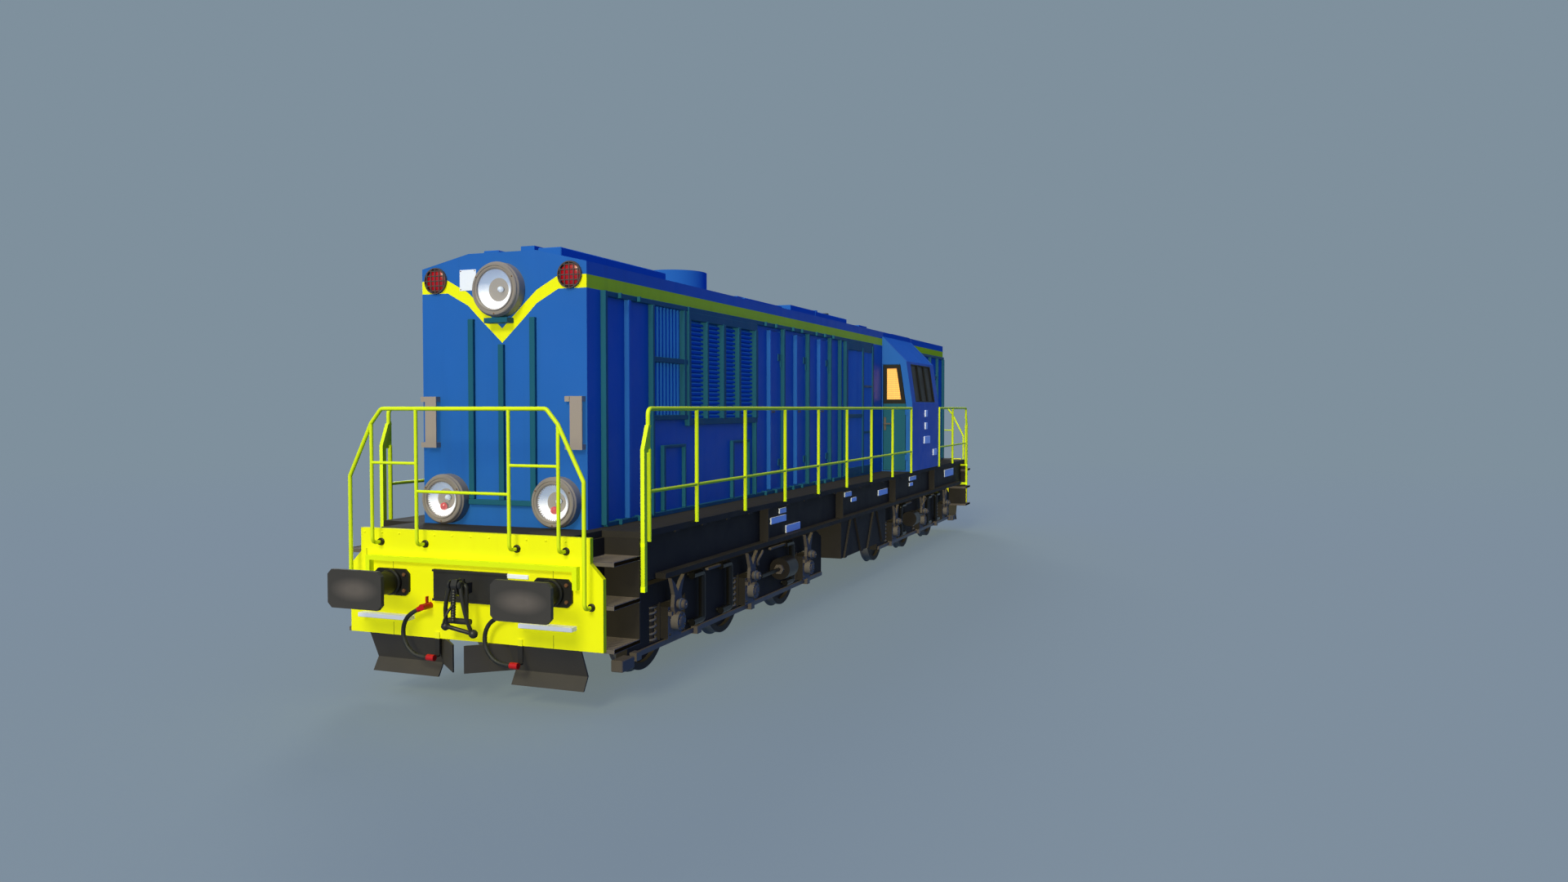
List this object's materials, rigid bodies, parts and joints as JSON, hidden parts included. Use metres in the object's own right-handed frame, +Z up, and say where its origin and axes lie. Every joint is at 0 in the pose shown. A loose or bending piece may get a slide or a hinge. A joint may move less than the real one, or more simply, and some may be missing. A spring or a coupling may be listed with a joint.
{
  "type": "diesel locomotive",
  "caption": "Shunting diesel locomotive with long hood, rear cab, walkways with rails, two turning bogies with rolling wheelsets, opening cab and engine doors, and a roof fan.",
  "frame": {"origin": "centre of the locomotive in plan, at the lowest point of the wheel flanges", "axes": "+X towards the long hood's end, +Y to the left side, +Z up"},
  "size_m": [17, 2.984, 4.4039],
  "materials": {
    "bogie_brown": "dusty dark paint",
    "cock_red": "gloss paint",
    "engine_grey": "satin paint",
    "frame_black": "dusty matt paint",
    "hood_blue": "satin paint",
    "hose_rubber": "matt",
    "seat_vinyl": "matt",
    "teal": "satin paint",
    "trim_grey": "satin paint",
    "warning_yellow": "satin paint",
    "wheel_steel": "worn steel",
    "window_glass": "clear"
  },
  "bodies": {
    "locomotive_body": {"deck": "frame_black", "side_sills": "frame_black", "centre_sill": "frame_black", "headstocks": "warning_yellow", "buffers": "frame_black", "draw_hooks": "frame_black", "screw_couplings": "frame_black", "snow_ploughs": "frame_black", "corner_steps": "trim_grey", "fuel_tank": "frame_black", "battery_boxes": "frame_black", "hood_side_left": "hood_blue", "hood_side_right": "hood_blue", "hood_front": "hood_blue", "hood_roof": "hood_blue", "rear_hood": "hood_blue", "hood_louvres": "teal", "cab_front_wall": "hood_blue", "cab_rear_wall": "hood_blue", "cab_sides": "hood_blue", "cab_roof": "hood_blue", "cab_windows": "window_glass", "cab_desk": "engine_grey", "cab_seats": "seat_vinyl", "side_railings": "warning_yellow", "end_railings": "warning_yellow", "headlamps": "trim_grey", "fan_cowl": "hood_blue", "roof_fittings": "hood_blue", "engine_block": "engine_grey", "grab_handles": "trim_grey", "brake_hose_front_left": "hose_rubber", "brake_hose_front_right": "hose_rubber", "brake_hose_rear_left": "hose_rubber", "brake_hose_rear_right": "hose_rubber", "hose_fittings": "cock_red"},
    "bogie_front": {"bogie_frame_front": "bogie_brown", "axleboxes_front": "bogie_brown", "traction_motors_front": "bogie_brown", "brake_gear_front": "bogie_brown"},
    "bogie_rear": {"bogie_frame_rear": "bogie_brown", "axleboxes_rear": "bogie_brown", "traction_motors_rear": "bogie_brown", "brake_gear_rear": "bogie_brown"},
    "wheelset_1": {"wheelset_1": "wheel_steel"},
    "wheelset_2": {"wheelset_2": "wheel_steel"},
    "wheelset_3": {"wheelset_3": "wheel_steel"},
    "wheelset_4": {"wheelset_4": "wheel_steel"},
    "wheelset_5": {"wheelset_5": "wheel_steel"},
    "wheelset_6": {"wheelset_6": "wheel_steel"},
    "cab_door_front": {"cab_door_front": "teal"},
    "cab_door_rear": {"cab_door_rear": "teal"},
    "engine_door_left_1": {"engine_door_left_1": "hood_blue"},
    "engine_door_left_2": {"engine_door_left_2": "hood_blue"},
    "engine_door_left_3": {"engine_door_left_3": "hood_blue"},
    "engine_door_right_1": {"engine_door_right_1": "hood_blue"},
    "engine_door_right_2": {"engine_door_right_2": "hood_blue"},
    "engine_door_right_3": {"engine_door_right_3": "hood_blue"},
    "roof_fan": {"roof_fan": "engine_grey"}
  },
  "joints": [
    {"name": "bogie_front_turn", "type": "hinge", "parent": "locomotive_body", "child": "bogie_front", "pos_m": [4.3, 0, 1.128], "axis": [0, 0, 1], "range_deg": [-4, 4]},
    {"name": "bogie_rear_turn", "type": "hinge", "parent": "locomotive_body", "child": "bogie_rear", "pos_m": [-4.3, 0, 1.128], "axis": [0, 0, 1], "range_deg": [-4, 4]},
    {"name": "wheelset_1_roll", "type": "hinge", "parent": "bogie_front", "child": "wheelset_1", "pos_m": [6.3, 0, 0.553], "axis": [0, 1, 0], "continuous": true},
    {"name": "wheelset_2_roll", "type": "hinge", "parent": "bogie_front", "child": "wheelset_2", "pos_m": [4.3, 0, 0.553], "axis": [0, 1, 0], "continuous": true},
    {"name": "wheelset_3_roll", "type": "hinge", "parent": "bogie_front", "child": "wheelset_3", "pos_m": [2.3, 0, 0.553], "axis": [0, 1, 0], "continuous": true},
    {"name": "wheelset_4_roll", "type": "hinge", "parent": "bogie_rear", "child": "wheelset_4", "pos_m": [-2.3, 0, 0.553], "axis": [0, 1, 0], "continuous": true},
    {"name": "wheelset_5_roll", "type": "hinge", "parent": "bogie_rear", "child": "wheelset_5", "pos_m": [-4.3, 0, 0.553], "axis": [0, 1, 0], "continuous": true},
    {"name": "wheelset_6_roll", "type": "hinge", "parent": "bogie_rear", "child": "wheelset_6", "pos_m": [-6.3, 0, 0.553], "axis": [0, 1, 0], "continuous": true},
    {"name": "cab_door_front_swing", "type": "hinge", "parent": "locomotive_body", "child": "cab_door_front", "pos_m": [-2.541, 1.355, 2.388], "axis": [0, 0, 1], "range_deg": [0, 90]},
    {"name": "cab_door_rear_swing", "type": "hinge", "parent": "locomotive_body", "child": "cab_door_rear", "pos_m": [-4.664, -1.355, 2.388], "axis": [0, 0, 1], "range_deg": [0, 90]},
    {"name": "engine_door_left_1_swing", "type": "hinge", "parent": "locomotive_body", "child": "engine_door_left_1", "pos_m": [2.528, 0.934, 2.688], "axis": [0, 0, 1], "range_deg": [0, 90]},
    {"name": "engine_door_left_2_swing", "type": "hinge", "parent": "locomotive_body", "child": "engine_door_left_2", "pos_m": [1.525, 0.934, 2.688], "axis": [0, 0, 1], "range_deg": [0, 90]},
    {"name": "engine_door_left_3_swing", "type": "hinge", "parent": "locomotive_body", "child": "engine_door_left_3", "pos_m": [0.522, 0.934, 2.688], "axis": [0, 0, 1], "range_deg": [0, 90]},
    {"name": "engine_door_right_1_swing", "type": "hinge", "parent": "locomotive_body", "child": "engine_door_right_1", "pos_m": [2.528, -0.934, 2.688], "axis": [0, 0, -1], "range_deg": [0, 90]},
    {"name": "engine_door_right_2_swing", "type": "hinge", "parent": "locomotive_body", "child": "engine_door_right_2", "pos_m": [1.525, -0.934, 2.688], "axis": [0, 0, -1], "range_deg": [0, 90]},
    {"name": "engine_door_right_3_swing", "type": "hinge", "parent": "locomotive_body", "child": "engine_door_right_3", "pos_m": [0.522, -0.934, 2.688], "axis": [0, 0, -1], "range_deg": [0, 90]},
    {"name": "roof_fan_spin", "type": "hinge", "parent": "locomotive_body", "child": "roof_fan", "pos_m": [3.83, 0, 4.219], "axis": [0, 0, 1], "continuous": true}
  ]
}
